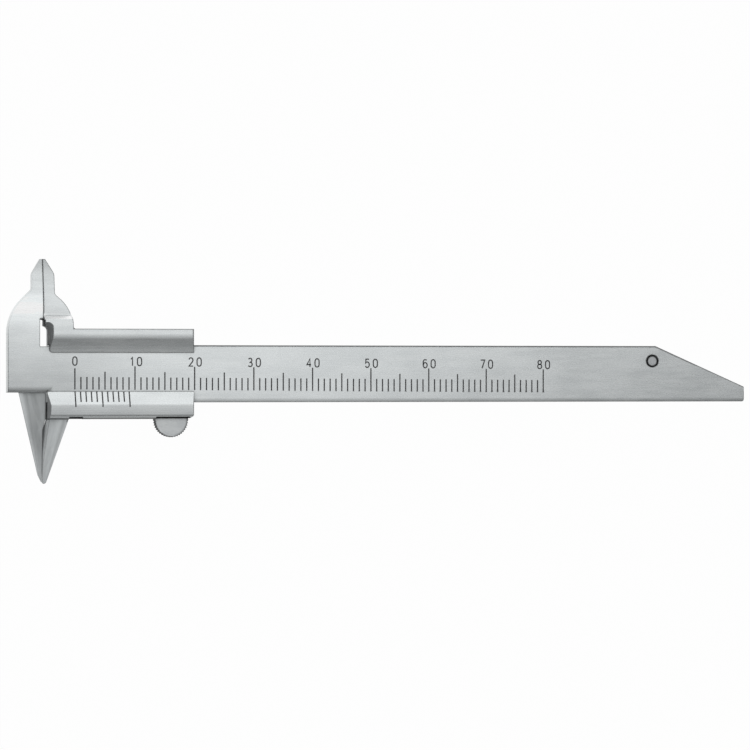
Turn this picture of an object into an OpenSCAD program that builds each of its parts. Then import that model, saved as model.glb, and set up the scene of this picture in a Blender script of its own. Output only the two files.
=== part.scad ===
// Dental vernier caliper with fixed and sliding jaws above and below the beam.
// It lies on its back: +X runs along the beam away from the jaws, +Y towards the
// upper jaws and +Z out of the graduated face. The origin is under the scale's zero
// line, on the beam's centreline, at the level that the slider's back rests on.

/* [Scale] */
// Longest reading, and so the slider's travel
scale_len = 80; // [60:1:120]
// Distance between two neighbouring lines of the main scale
tick_pitch = 1; // [0.5:0.5:2]
// Width of an engraved line
tick_w = 0.22; // [0.15:0.01:0.3]
// Depth of an engraved line
tick_depth = 0.06; // [0.04:0.01:0.12]
// Distance from the beam's centreline down to the foot of the zero line
tick_foot = 2.59; // [2.2:0.01:2.7]
// Angle at which the row of lines runs down towards the tail
scale_lean = 0.38; // [0:0.01:0.45]
// Length of a line between the fives
tick_short = 2.07; // [1.5:0.01:2.3]
// Length of a line at a five
tick_mid = 2.97; // [2.4:0.01:3.3]
// Length of a line at a ten
tick_long = 3.88; // [3.4:0.01:4.2]
// Length of the zero line
tick_zero = 3.5; // [3.4:0.01:4.2]
// Number of divisions of the vernier
vernier_divs = 10; // [10:10:20]
// Distance from the vernier's edge to the far end of its short lines
vernier_short = 1.73; // [1.4:0.01:2]
// Distance from the vernier's edge to the far end of its long lines
vernier_long = 2.56; // [2.3:0.01:2.8]

/* [Beam] */
// Width of the beam
beam_w = 9.5; // [9:0.1:12]
// Thickness of the beam and the head
beam_t = 2.8; // [2.5:0.1:4]
// Length of the slanted tail beyond the slider's last place
tail_len = 15.85; // [12:0.05:24]
// Height of the upright face at the tail's end
tail_end_h = 2.55; // [1.5:0.05:3.5]
// Radius of the tail's lower corner
tail_corner_r = 0.35; // [0.2:0.05:0.6]
// Chamfer along the beam's long edges
beam_chamfer = 0.18; // [0.1:0.01:0.3]
// Radius of the soft curve from the front face down to the lower edge
low_face_r = 2; // [1.5:0.1:2.5]
// Angle that this curve has reached at the beam's lower edge
beam_face_a = 22; // [15:1:28]

/* [Head] */
// Distance from the measuring plane to the scale's zero line
zero_offset = 5.15; // [5:0.05:7]
// Width of the head, left of the measuring plane
head_w = 5.9; // [5.6:0.1:8]
// Distance from the beam's centreline down to the head's lower edge
head_drop = 3.1; // [2.8:0.05:3.6]
// Angle that the front face's soft curve has reached at the head's lower edge
head_face_a = 32; // [24:1:36]
// Hollow rounding where the head's lower edge meets the beam
head_root_r = 0.45; // [0.2:0.05:0.6]
// Radius of the head's shoulder
head_shoulder_r = 7.9; // [7.6:0.1:9.2]
// Distance from the upper jaws' tips down to the centre of the head's shoulder
head_shoulder_drop = 12.3; // [12:0.05:12.8]
// Angle of the slope from the head's shoulder up to its jaw
head_slope_a = 45; // [42:1:48]
// Width of the relief between the head and the measuring plane
relief_w = 0.6; // [0.5:0.05:0.8]
// Depth of the relief below the beam's upper edge
relief_drop = 0.25; // [0.1:0.05:0.4]
// Distance from the upper jaws' tips down to the relief's top, at the front face
relief_top_drop = 9.85; // [9.75:0.05:10.15]
// How much lower the relief's top is at the back
relief_slant = 0.2; // [0.1:0.05:0.6]

/* [Upper jaws] */
// Height of the upper jaws' tips above the beam's centreline
upper_reach = 18.95; // [18.4:0.05:21]
// Width of one upper jaw's blade
blade_w = 1.85; // [1.7:0.05:2.2]
// Length of the narrowed end of a blade
blade_taper_len = 2.45; // [1.9:0.05:3]
// Rounding where the blades begin to narrow
blade_round_r = 1.5; // [1:0.1:2]
// Width of one blade at its tip
blade_tip_w = 0.4; // [0.3:0.05:0.6]
// Length of the front faces' slope at the blades' ends
blade_slope_len = 6.75; // [6:0.05:8]
// How far the front faces have sloped back at the tips
blade_slope = 1.75; // [1.2:0.05:2]
// Radius of the long curve between the front faces and their slopes
blade_blend_r = 22; // [16:1:28]
// Radius of the sliding jaw's shoulder
slider_shoulder_r = 6; // [5.6:0.1:6.6]
// Distance from the upper jaws' tips down to the centre of the sliding jaw's shoulder
slider_shoulder_drop = 11.1; // [10.8:0.05:11.6]
// Distance from the measuring plane to the sliding jaw's right edge
slider_shoulder_w = 4.8; // [4.6:0.05:5]
// Angle of the slope from the sliding jaw's shoulder up to its blade
slider_slope_a = 49; // [46:1:52]
// Hollow rounding below the fixed blade
head_fillet_r = 0.4; // [0.2:0.1:0.8]
// Hollow rounding below the sliding blade
slider_fillet_r = 0.8; // [0.4:0.1:1]
// Hollow rounding where the sliding jaw meets the slider's top edge
root_fillet_r = 0.4; // [0.2:0.1:0.8]

/* [Lower points] */
// Depth of the lower points' tips below the beam's centreline
lower_reach = 18.2; // [17.6:0.05:20]
// Width of the fixed point at the head's lower edge
fixed_point_w = 3.86; // [3.4:0.01:4.2]
// Height of the fixed point's round front at the head's lower edge
fixed_point_h = 2.2; // [1.9:0.05:2.4]
// Width of the sliding point at the slider's lower edge
slider_point_w = 4.5; // [3.8:0.01:4.6]
// Height of the sliding point's round front at the slider's lower edge
slider_point_h = 2.4; // [2.1:0.05:2.6]
// Width of the fixed point's cone where its tip begins
fixed_end_w = 0.5; // [0.4:0.01:0.6]
// Width of the sliding point's cone where its tip begins
slider_end_w = 0.85; // [0.7:0.01:0.95]
// Height of both those places above the sliding point's tip
point_end_h = 0.53; // [0.4:0.01:0.7]
// Radius of the sliding point's tip
slider_tip_r = 0.42; // [0.3:0.01:0.5]
// Distance from the measuring plane to the centre of the sliding point's tip
slider_tip_x = 0.35; // [0.25:0.01:0.4]
// Width of the fixed point's tip
fixed_tip_w = 0.1; // [0.08:0.01:0.2]
// How much the fixed point is shorter than the sliding one
fixed_tip_lift = 0.28; // [0.1:0.01:0.4]
// Angle between the measuring plane and the slope that the fixed point's tip is ground to
fixed_tip_a = 26.5; // [22:0.5:30]
// Depth of the measuring edge's slope on the sliding point, below the beam's face
point_bevel_depth = 1.9; // [1.6:0.1:2.2]
// Angle between that slope and the measuring plane
point_bevel_a = 34; // [28:1:40]
// Depth below the beam's centreline where that root ends
root_reach = 9.3; // [8.8:0.1:9.8]

/* [Slider] */
// Distance from the measuring plane to the slider's left end, below the beam
slider_inset = 0.62; // [0.6:0.01:0.8]
// How much further right the slider's left end lies above the beam
upper_inset = 0.33; // [0.25:0.01:0.4]
// Radius of the scoop that ends that side at the sliding jaw
scoop_r = 0.85; // [0.6:0.05:1]
// Height from the scoop's ceiling at the front up to the relief's top
scoop_step = 0.6; // [0.4:0.05:0.7]
// How much lower the scoop's ceiling is at its foot
scoop_slant = 0.6; // [0.4:0.05:0.7]
// Rounding of the upper lip's lower left corner
lip_corner_r = 0.5; // [0.3:0.05:0.7]
// Distance from the scale's zero line to the slider's right end
slider_reach = 19.9; // [19:0.1:26]
// Thickness of the plate behind the beam
back_t = 1.2; // [1:0.05:1.8]
// Thickness of the upper rail
top_rail_t = 2.63; // [2.4:0.05:3]
// Thickness of the lower rail
low_rail_t = 2.7; // [2.65:0.05:3]
// Height of the lips above the beam's face
lip_rise = 1.3; // [1.1:0.05:1.6]
// How far the upper lip reaches over the beam
top_lip_over = 1.25; // [1:0.05:1.4]
// How far the lower lip reaches over the beam
low_lip_over = 1.83; // [1.7:0.05:1.9]
// Radius of the soft shoulder between the upper lip's flat and its slope
top_curve_r = 2.4; // [2:0.1:2.8]
// Steepest angle of the upper lip's hollow slope, at the shoulder
top_slope_a = 27; // [25:1:29]
// Angle by which that slope flattens towards its edge
top_hollow_a = 8; // [6:1:10]
// Width of the lower lip's slope, which carries the vernier
low_bevel_w = 2.2; // [2.1:0.05:2.4]
// Thickness of the lips at their edges
lip_edge_t = 0.1; // [0.08:0.01:0.15]
// Rounding along the slider's upper edge
top_edge_r = 0.25; // [0.15:0.05:0.4]
// Rounding along the slider's lower edge
low_edge_r = 1; // [0.8:0.05:1.1]
// Angle that the lower lip's crowned flat has reached where that rounding begins
low_crown_a = 8; // [5:1:11]
// Rounding between the vernier's slope and the flat
low_curve_r = 0.5; // [0.3:0.05:0.8]
// Chamfer along the back plate's edges
back_chamfer = 0.25; // [0.15:0.05:0.4]
// How far the lips' left ends slope back
left_end_slope = 0.5; // [0.3:0.05:0.6]
// Height above the beam's face where the left ends begin to slope
left_end_foot = 0.35; // [0.2:0.05:0.5]
// How far the lips' right ends slope back
right_end_slope = 0.35; // [0.2:0.05:0.5]
// Width of the cut corner at the slider's lower right
corner_cut_w = 1; // [0.6:0.05:1.2]
// Height of that cut corner
corner_cut_h = 0.65; // [0.4:0.05:0.8]
// Height of the thick shoulder's top above the upper rail
step_rise = 1.57; // [1.4:0.05:1.7]
// Width of the slope from the thick shoulder down to the jaw
step_w = 0.85; // [0.6:0.05:1]

/* [Springs, lever and pins] */
// Depth of the gib spring's pocket in the upper rail
pocket_d = 0.55; // [0.45:0.05:0.7]
// Distance from each end of the slider to the gib spring's pocket
pocket_margin = 1.5; // [1.2:0.1:2.5]
// Thickness of the gib spring
gib_t = 0.2; // [0.15:0.01:0.25]
// Thickness of the thumb lever
lever_t = 2.2; // [2:0.05:2.45]
// Distance from the scale's zero line to the lever's pivot
pivot_x = 5.5; // [5:0.1:7]
// Radius of the lever's pin
pin_r = 0.45; // [0.35:0.01:0.5]
// How deep the pin stands in the front wall
pin_seat = 0.7; // [0.5:0.05:0.8]
// Radius of the lever's hub
hub_r = 0.93; // [0.8:0.01:0.95]
// Height of the lever's arm
arm_h = 1.25; // [1.1:0.05:1.3]
// Width of the nose that clamps the beam
nose_w = 1.3; // [1:0.1:1.8]
// Thickness of the web between the lever and the beam
web_t = 0.45; // [0.35:0.01:0.5]
// Distance from the scale's zero line to the lever slot's left end
slot_left = 1.05; // [0.9:0.05:1.1]
// Distance from the slider's right end to the lever slot
slot_right = 0.8; // [0.7:0.05:1]
// Length of the slit that shows the lever's left end
slit_w = 2.3; // [2:0.1:2.6]
// Height of the slits in the front wall
slit_h = 0.4; // [0.3:0.05:0.45]
// Radius of the half-round thumb pad
pad_r = 2.8; // [2.6:0.05:3]
// Distance from the lever's arm down to the centre of the pad
pad_drop = 0.35; // [0.2:0.05:0.5]
// Number of grooves round the thumb pad
knurls = 20; // [14:1:24]
// Radius of a groove on the thumb pad
knurl_r = 0.19; // [0.12:0.01:0.2]
// Thickness of the lever's spring
leaf_t = 0.15; // [0.1:0.01:0.18]
// Length of the lever's spring
leaf_len = 8; // [6:0.5:9]
// Radius of the stop pin
stop_r = 0.8; // [0.6:0.05:0.9]
// Width of the groove round the stop pin's front end
stop_groove_w = 0.3; // [0.2:0.05:0.4]
// Depth of that groove
stop_groove_d = 0.35; // [0.2:0.05:0.5]
// Height of the stop pin above the beam's centreline
stop_y = 2.18; // [1.9:0.05:2.2]
// Distance from the slider's right end to the stop pin when the slider is there
stop_inset = 0.55; // [0.4:0.05:0.7]

/* [Clearances] */
// Gap between the slider and each face of the beam
slide_gap = 0.05; // [0.03:0.01:0.08]
// Gap left between the closed jaws
jaw_gap = 0.06; // [0.02:0.01:0.08]
// Gap between the fixed point's root and the slider
root_gap = 0.2; // [0.15:0.01:0.25]
// Gap on each side of the lever in its slot
lever_gap = 0.1; // [0.05:0.01:0.12]
// Radial gap between the lever and its pin
pivot_gap = 0.03; // [0.02:0.01:0.06]
// Gap between a spring and what it presses on, and between a pin and its seat
seat_gap = 0.02; // [0.01:0.01:0.03]
// Gap between the stop pin and the slider's notch
stop_gap = 0.08; // [0.05:0.01:0.15]

/* [Hidden] */
$fn = 96;

steel = [0.82, 0.83, 0.84];
slider_steel = [0.76, 0.78, 0.79];
spring_steel = [0.55, 0.58, 0.62];
pin_steel = [0.88, 0.88, 0.86];

over = 0.5;
lap = 0.2;
fives = 5;
tens = 10;
bow_steps = 16;
curve_steps = 10;
step_a = 2;

// Levels
beam_back = back_t + slide_gap;
beam_front = beam_back + beam_t;
lip_under = beam_front + slide_gap;
lip_foot = lip_under + lip_edge_t;
lip_top = beam_front + lip_rise;
end_foot = beam_front + left_end_foot;

// Places across the beam
beam_top = beam_w / 2;
rail_in = beam_top + slide_gap;
slider_top = beam_top + top_rail_t + slide_gap;
slider_low = -beam_top - low_rail_t - slide_gap;
top_lip_y = beam_top - top_lip_over;
low_lip_y = -beam_top + low_lip_over;
step_top = slider_top + step_rise;
head_shoulder_y = upper_reach - head_shoulder_drop;
slider_shoulder_y = upper_reach - slider_shoulder_drop;
relief_top = upper_reach - relief_top_drop;

// Places along the beam
jaw_x = -zero_offset;
fixed_jaw_x = jaw_x - jaw_gap / 2;
slider_jaw_x = jaw_x + jaw_gap / 2;
head_left = jaw_x - head_w;
slider_left = jaw_x + slider_inset;
upper_left = slider_left + upper_inset;
root_right = slider_left - root_gap;
stop_x = scale_len + slider_reach - stop_inset;
slant_x = scale_len + slider_reach + slide_gap;
beam_right = slant_x + tail_len;
relief_left = jaw_x - relief_w;

// Slopes of the two lower points, from the width and height that each has at its root
fixed_point_len = lower_reach - head_drop;
slider_point_len = lower_reach + slider_low;
fixed_point_grow = (fixed_point_w - fixed_end_w) / (fixed_point_len - point_end_h);
slider_point_grow = (slider_point_w - slider_end_w) / (slider_point_len - point_end_h);

// Lever, slot and spring places
slot_back = back_t + lever_gap;
slot_front = slot_back + lever_t + 2 * lever_gap;
lever_back = slot_back + lever_gap;
web_low = -rail_in - web_t;
pivot_y = slider_low + hub_r + lever_gap;
arm_low = slider_low + lever_gap;
arm_top = arm_low + arm_h;
slot_end = slider_reach - slot_right;
pad_x = slot_end - lever_gap - pad_r;
pad_y = arm_low - pad_drop;
nose_left = 2 * lever_gap - slot_left;
nose_top = -beam_top - seat_gap;
leaf_x = slot_end - 2 * lever_gap - leaf_len;
gib_left = slider_left + pocket_margin + lever_gap;
gib_right = slider_reach - pocket_margin - lever_gap;

// The piece between a corner and the circle that rounds it, run on past the corner's
// sides. Added to a hollow corner it fillets it, and cut from a standing one it rounds it.
module corner_piece(corner, dir_a, dir_b, r) {
    a = dir_a / norm(dir_a);
    b = dir_b / norm(dir_b);
    half = acos(a * b) / 2;
    reach = r / tan(half);
    centre = corner + (a + b) / norm(a + b) * r / sin(half);
    difference() {
        polygon([
            corner + a * reach, centre, corner + b * reach,
            corner + b * reach - a * lap, corner - (a + b) * lap, corner + a * reach - b * lap
        ]);
        translate(centre) circle(r);
    }
}

// Points of an arc that sets out from start towards -Y and -Z and whose fall steepens
// from angle a0 to a1. An a1 below a0 makes it flatten again.
function curve_down(start, r, a0, a1) =
    let (steps = ceil(abs(a1 - a0) / step_a), turn = a1 > a0 ? 1 : -1)
    [for (i = [0 : steps])
        let (a = a0 + (a1 - a0) * i / steps)
        start - turn * r * [sin(a) - sin(a0), cos(a0) - cos(a)]];

// The same points without the first
function curve_on(start, r, a0, a1) =
    let (points = curve_down(start, r, a0, a1))
    [for (i = [1 : len(points) - 1]) points[i]];

// Extrudes an outline drawn across the beam (Y, Z) from one X to another
module across(x0, x1) {
    translate([x0, 0, 0]) rotate([90, 0, 90]) linear_extrude(x1 - x0) children();
}

// Extrudes an outline drawn in the side view (X, Z) from one Y to another
module sideways(y0, y1) {
    translate([0, y1, 0]) rotate([90, 0, 0]) linear_extrude(y1 - y0) children();
}

// Extrudes an outline drawn in the front view (X, Y) from one Z to another
module upward(z0, z1) {
    translate([0, 0, z0]) linear_extrude(z1 - z0) children();
}

// One upper jaw with its shoulder, drawn to the right of a measuring plane at X = 0.
// The shoulder is a circle whose tangent slopes up to the blade.
module jaw_outline(edge_x, centre_y, r, slope_a, fillet_r, low_y) {
    centre_x = edge_x - r;
    tangent = [centre_x + r * cos(slope_a), centre_y + r * sin(slope_a)];
    run = [-sin(slope_a), cos(slope_a)];
    neck = [blade_w, tangent[1] + (tangent[0] - blade_w) / tan(slope_a)];
    shoulder_foot = [edge_x, centre_y];
    brow = [blade_w, upper_reach - blade_taper_len];
    tip = [blade_tip_w, upper_reach];
    difference() {
        union() {
            polygon([
                [0, low_y], [edge_x, low_y], shoulder_foot, tangent, neck, brow, tip, [0, upper_reach]
            ]);
            intersection() {
                translate([centre_x, centre_y]) circle(r);
                polygon([[0, centre_y], shoulder_foot, tangent + [r, 0], tangent, [0, centre_y + r]]);
            }
            corner_piece(neck, -run, [0, 1], fillet_r);
        }
        corner_piece(brow, [0, -1], tip - brow, blade_round_r);
    }
}

// The space in front of the upper jaws, where their faces slope back to the tips
module blade_slope_cut(x0, x1) {
    slope_a = atan(blade_slope / blade_slope_len);
    start_y = upper_reach - blade_slope_len - blade_blend_r * tan(slope_a / 2);
    curve = [for (i = [0 : curve_steps])
        let (a = slope_a * i / curve_steps)
        [start_y + blade_blend_r * sin(a), beam_front - blade_blend_r * (1 - cos(a))]];
    across(x0, x1) polygon(concat(curve, [
        [upper_reach + over, beam_front - blade_slope - over * tan(slope_a)],
        [upper_reach + over, beam_front + over], [start_y, beam_front + over]
    ]));
}

// A lower point's round front: a leaning cone that the beam's back plane and the
// measuring plane cut. Its apex lies beyond the point's tip.
module point_cone(grow, end_w, height, len) {
    apex_run = end_w / grow - point_end_h;
    full_len = len + apex_run;
    rise_a = atan(height / full_len);
    lean_a = atan((cos(rise_a) - 1 / sqrt(1 + grow * grow)) / sin(rise_a));
    cone_a = lean_a + rise_a;
    cone_len = full_len / cos(cone_a);
    translate([jaw_x, -lower_reach - apex_run, beam_back])
        rotate([-90 - lean_a, 0, 0])
            cylinder(h = cone_len, r1 = 0, r2 = cone_len * tan(cone_a));
}

// Beam, head and the two fixed jaws, one forging
module beam_bar() {
    difference() {
        across(root_right, beam_right) polygon([
            [-beam_top, beam_back + beam_chamfer], [-beam_top + beam_chamfer, beam_back],
            [beam_top - beam_chamfer, beam_back], [beam_top, beam_back + beam_chamfer],
            [beam_top, beam_front - beam_chamfer], [beam_top - beam_chamfer, beam_front],
            [-beam_top, beam_front]
        ]);
        face_curve_cut(root_right, beam_right + over, -beam_top, beam_face_a, over);
        upward(beam_back - over, beam_front + over) tail_cut();
        tail_edge(beam_front);
        tail_edge(beam_back);
    }
}

// What the slanted tail leaves away
module tail_cut() {
    polygon([
        [slant_x, beam_top], [beam_right, -beam_top + tail_end_h], [beam_right + over, -beam_top + tail_end_h],
        [beam_right + over, beam_top + over], [slant_x, beam_top + over]
    ]);
    corner_piece([beam_right, -beam_top], [-1, 0], [0, 1], tail_corner_r);
}

// Chamfer along the tail's slanted edge, at one face of the beam
module tail_edge(level) {
    rise = beam_w - tail_end_h;
    run_len = norm([tail_len, rise]);
    translate([slant_x, beam_top, level])
        rotate([0, 0, -atan(rise / tail_len)])
            rotate([45, 0, 0])
                translate([-over, -beam_chamfer / sqrt(2), -beam_chamfer / sqrt(2)])
                    cube([run_len + 2 * over, beam_chamfer * sqrt(2), beam_chamfer * sqrt(2)]);
}

module head() {
    difference() {
        upward(beam_back, beam_front) {
            translate([fixed_jaw_x, 0]) mirror([1, 0])
                jaw_outline(head_w - jaw_gap / 2, head_shoulder_y, head_shoulder_r, head_slope_a,
                            head_fillet_r, -head_drop);
            polygon([
                [fixed_jaw_x - over, -head_drop], [root_right + over, -head_drop],
                [root_right + over, beam_top - beam_chamfer], [fixed_jaw_x - over, beam_top - beam_chamfer]
            ]);
            corner_piece([root_right, -head_drop], [-1, 0], [0, -1], head_root_r);
        }
        blade_slope_cut(head_left - over, fixed_jaw_x + over);
        relief();
    }
}

// What the soft curve from the front face down to a lower edge takes away, and all that
// lies in front of its straight run-out beyond the edge
module face_curve_cut(x0, x1, edge_y, end_a, run_out) {
    start_y = edge_y + low_face_r * sin(end_a);
    drop = low_face_r * (1 - cos(end_a));
    across(x0, x1) polygon(concat(
        curve_down([start_y, beam_front], low_face_r, 0, end_a),
        [[edge_y - run_out, beam_front - drop - run_out * tan(end_a)],
         [edge_y - run_out, beam_front + over], [start_y, beam_front + over]]
    ));
}

// That curve along the head's lower edge, mitred to the beam's left end
module head_curve_cut() {
    low_y = -beam_top - over;
    intersection() {
        face_curve_cut(head_left - over, root_right + low_face_r, -head_drop, head_face_a, -low_y - head_drop);
        rotate([0, 0, -90])
            face_curve_cut(head_drop - low_face_r, -low_y, root_right, head_face_a, root_right - head_left + over);
    }
}

// Slot that keeps the measuring faces clear of the beam's upper edge
module relief() {
    across(relief_left, slider_jaw_x + over) polygon([
        [beam_top - relief_drop, beam_back - over], [beam_top - relief_drop, beam_front + over],
        [relief_top, beam_front + over], [relief_top, beam_front],
        [relief_top - relief_slant, beam_back], [relief_top - relief_slant, beam_back - over]
    ]);
}

// The fixed point widens beyond the measuring plane at its root, beside the slider
module fixed_point() {
    tip_x = fixed_jaw_x - fixed_tip_w;
    tip_y = -lower_reach + fixed_tip_lift;
    top_y = -head_drop + over;
    intersection() {
        point_cone(fixed_point_grow, fixed_end_w, fixed_point_h, fixed_point_len);
        upward(beam_back, beam_back + fixed_point_h) polygon([
            [fixed_jaw_x, tip_y], [fixed_jaw_x, -root_reach], [root_right, slider_low],
            [root_right, top_y], [tip_x - (top_y - tip_y) * tan(fixed_tip_a), top_y], [tip_x, tip_y]
        ]);
    }
}

function tick_len(i) = i == 0 ? tick_zero : i % tens == 0 ? tick_long : i % fives == 0 ? tick_mid : tick_short;

module main_scale() {
    for (i = [0 : floor(scale_len / tick_pitch)])
        translate([i * tick_pitch - tick_w / 2, -tick_foot - i * tick_pitch * tan(scale_lean),
                   beam_front - tick_depth])
            cube([tick_w, tick_len(i), tick_depth + over]);
}

module beam() {
    color(steel) difference() {
        union() {
            difference() {
                union() {
                    beam_bar();
                    head();
                }
                head_curve_cut();
            }
            fixed_point();
        }
        relief_floor();
        main_scale();
        translate([stop_x, stop_y, beam_back - over]) cylinder(h = beam_t + 2 * over, r = stop_r + seat_gap);
        translate([stop_x, stop_y, beam_front - stop_groove_d])
            cylinder(h = stop_groove_d + over, r = stop_r + stop_groove_w);
    }
}

// Floor of the relief, cut a little below the beam's upper edge beside the head
module relief_floor() {
    upward(beam_back - over, beam_front + over) polygon([
        [relief_left, beam_top - relief_drop], [upper_left - root_gap, beam_top - relief_drop],
        [upper_left, beam_top], [upper_left, beam_top + over], [relief_left, beam_top + over]
    ]);
}

// Upper lip's face from its flat down to its edge: a soft shoulder, then a hollow slope
function top_lip_face() =
    let (
        edge_a = top_slope_a - top_hollow_a,
        shoulder_drop = top_curve_r * (1 - cos(top_slope_a)),
        hollow_r = (lip_top - lip_foot - shoulder_drop) / (cos(edge_a) - cos(top_slope_a)),
        shoulder_end = [top_lip_y + hollow_r * (sin(top_slope_a) - sin(edge_a)), lip_top - shoulder_drop]
    )
    concat(
        curve_down(shoulder_end + [top_curve_r * sin(top_slope_a), shoulder_drop], top_curve_r, 0, top_slope_a),
        curve_on(shoulder_end, hollow_r, top_slope_a, edge_a)
    );

// Lower lip's face from its edge up the vernier's slope and down over the crowned flat
function low_lip_face() =
    let (
        slope_a = atan((lip_top - lip_foot) / low_bevel_w),
        flat_start = [low_lip_y - low_bevel_w - low_curve_r * tan(slope_a / 2), lip_top],
        crown_run = flat_start[0] - slider_low - low_edge_r * (1 - sin(low_crown_a)),
        crown_r = crown_run / sin(low_crown_a),
        crown_end = flat_start - crown_r * [sin(low_crown_a), 1 - cos(low_crown_a)],
        curve_start = flat_start + low_curve_r * [sin(slope_a), cos(slope_a) - 1]
    )
    concat(
        [[low_lip_y, lip_foot]],
        curve_down(curve_start, low_curve_r, -slope_a, 0),
        curve_on(flat_start, crown_r, 0, low_crown_a),
        curve_on(crown_end, low_edge_r, low_crown_a, 90)
    );

// Section of the sliding frame: a plate behind the beam, two rails and two lips
module channel_profile() {
    polygon(concat(low_lip_face(), [
        [slider_low, back_chamfer], [slider_low + back_chamfer, 0],
        [slider_top - back_chamfer, 0], [slider_top, back_chamfer], [slider_top, lip_top - top_edge_r],
        [slider_top - top_edge_r, lip_top]
    ], top_lip_face(), [
        [top_lip_y, lip_under], [rail_in, lip_under], [rail_in, back_t], [-rail_in, back_t],
        [-rail_in, lip_under], [low_lip_y, lip_under]
    ]));
    translate([slider_top - top_edge_r, lip_top - top_edge_r]) circle(top_edge_r);
}

// Sliding jaw as seen from the front, sunk a little way into the upper rail
module slider_jaw_outline() {
    translate([slider_jaw_x, 0])
        jaw_outline(slider_shoulder_w - jaw_gap / 2, slider_shoulder_y, slider_shoulder_r,
                    slider_slope_a, slider_fillet_r, min(slider_top - over, slider_shoulder_y));
}

module upper_slider_jaw() {
    plate_top = max(relief_top - relief_slant, slider_top + 2 * root_gap);
    difference() {
        union() {
            upward(beam_back, beam_front) slider_jaw_outline();
            difference() {
                union() {
                    upward(0, lip_top) slider_jaw_outline();
                    upward(back_chamfer, lip_top - top_edge_r)
                        corner_piece([jaw_x + slider_shoulder_w, slider_top], [0, 1], [1, 0], root_fillet_r);
                }
                across(jaw_x - over, 0) step_limit();
            }
        }
        blade_slope_cut(slider_jaw_x - over, 0);
        translate([slider_jaw_x - over, 0, -over])
            cube([over + root_gap, plate_top, lip_top + 2 * over]);
    }
}

// What the slider's left end leaves away above the beam: upright as far as the lips'
// feet, then sloping back, with a scoop for its ceiling
module upper_left_cut() {
    upward(-over, end_foot + lap) upper_left_outline(0);
    hull() {
        upward(end_foot, end_foot + lap) upper_left_outline(0);
        upward(lip_top + over, lip_top + over + lap)
            upper_left_outline((lip_top + over - end_foot) / (lip_top - end_foot));
    }
    upward(lip_under - lap, lip_top + over)
        corner_piece([upper_left, top_lip_y], [1, 0], [0, 1], lip_corner_r);
}

// Outline of that cut where the left end has sloped back by a share of its slope
module upper_left_outline(slope_share) {
    x = upper_left + left_end_slope * slope_share;
    ceiling_y = relief_top - scoop_step - scoop_slant * (1 - slope_share);
    intersection() {
        union() {
            translate([x - scoop_r, ceiling_y - scoop_r]) circle(scoop_r);
            translate([jaw_x - over, 0]) square([x - scoop_r - jaw_x + over, ceiling_y]);
            translate([jaw_x - over, 0]) square([x - jaw_x + over, ceiling_y - scoop_r]);
        }
        polygon([
            [jaw_x - over, 0], [slider_left, 0], [slider_left + upper_reach, upper_reach],
            [jaw_x - over, upper_reach]
        ]);
    }
}

// Everything outside the thick shoulder, whose top slopes down to the jaw at both faces
module step_limit() {
    polygon([
        [step_top, lip_top], [step_top + step_w, beam_front], [step_top + step_w, beam_back],
        [step_top, 0], [step_top, -over], [upper_reach + over, -over],
        [upper_reach + over, lip_top + over], [step_top, lip_top + over]
    ]);
}

// Slope of the lower lip's left end, drawn in the side view
module left_end_cut() {
    polygon([
        [jaw_x - over, end_foot], [slider_left, end_foot], [slider_left + left_end_slope, lip_top],
        [slider_left + left_end_slope, lip_top + over], [jaw_x - over, lip_top + over]
    ]);
}

module right_end_cut() {
    polygon([
        [slider_reach, beam_front], [slider_reach + over, beam_front], [slider_reach + over, lip_top + over],
        [slider_reach - right_end_slope, lip_top + over], [slider_reach - right_end_slope, lip_top]
    ]);
}

module slider_point() {
    bevel_z = beam_front - point_bevel_depth;
    bevel_run = (lip_top - bevel_z) * tan(point_bevel_a);
    tip_y = -lower_reach + slider_tip_r;
    difference() {
        intersection() {
            point_cone(slider_point_grow, slider_end_w, slider_point_h, slider_point_len);
            upward(beam_back, beam_back + slider_point_h) {
                translate([slider_jaw_x, tip_y]) square([slider_reach, slider_low + over - tip_y]);
                intersection() {
                    translate([jaw_x + slider_tip_x, tip_y]) circle(slider_tip_r);
                    translate([slider_jaw_x, tip_y - slider_tip_r]) square([2 * slider_tip_r, 2 * slider_tip_r]);
                }
            }
        }
        sideways(-lower_reach - over, slider_low + over) polygon([
            [slider_jaw_x, bevel_z], [slider_jaw_x + bevel_run, lip_top], [slider_jaw_x - over, lip_top],
            [slider_jaw_x - over, bevel_z]
        ]);
        upward(0, lip_top) polygon([
            [slider_jaw_x - over, -root_reach - root_gap], [slider_jaw_x, -root_reach - root_gap],
            [slider_left, slider_low - root_gap], [slider_left, slider_low + over],
            [slider_jaw_x - over, slider_low + over]
        ]);
    }
}

// Slot for the thumb lever, its opening to the beam and the slits in the front wall
module lever_slot() {
    translate([-slot_left, slider_low - over, slot_back])
        cube([slot_end + slot_left, web_low - slider_low + over, slot_front - slot_back]);
    translate([-slot_left, web_low - over, slot_back])
        cube([nose_w + 2 * lever_gap, web_t + 2 * over, slot_front - slot_back]);
    translate([-slot_left, slider_low - over, slot_back])
        cube([slit_w, slit_h + over, lip_top]);
    translate([pad_x - pad_r, slider_low - over, slot_back])
        cube([slot_end - pad_x + pad_r, slit_h + over, lip_top]);
}

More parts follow.
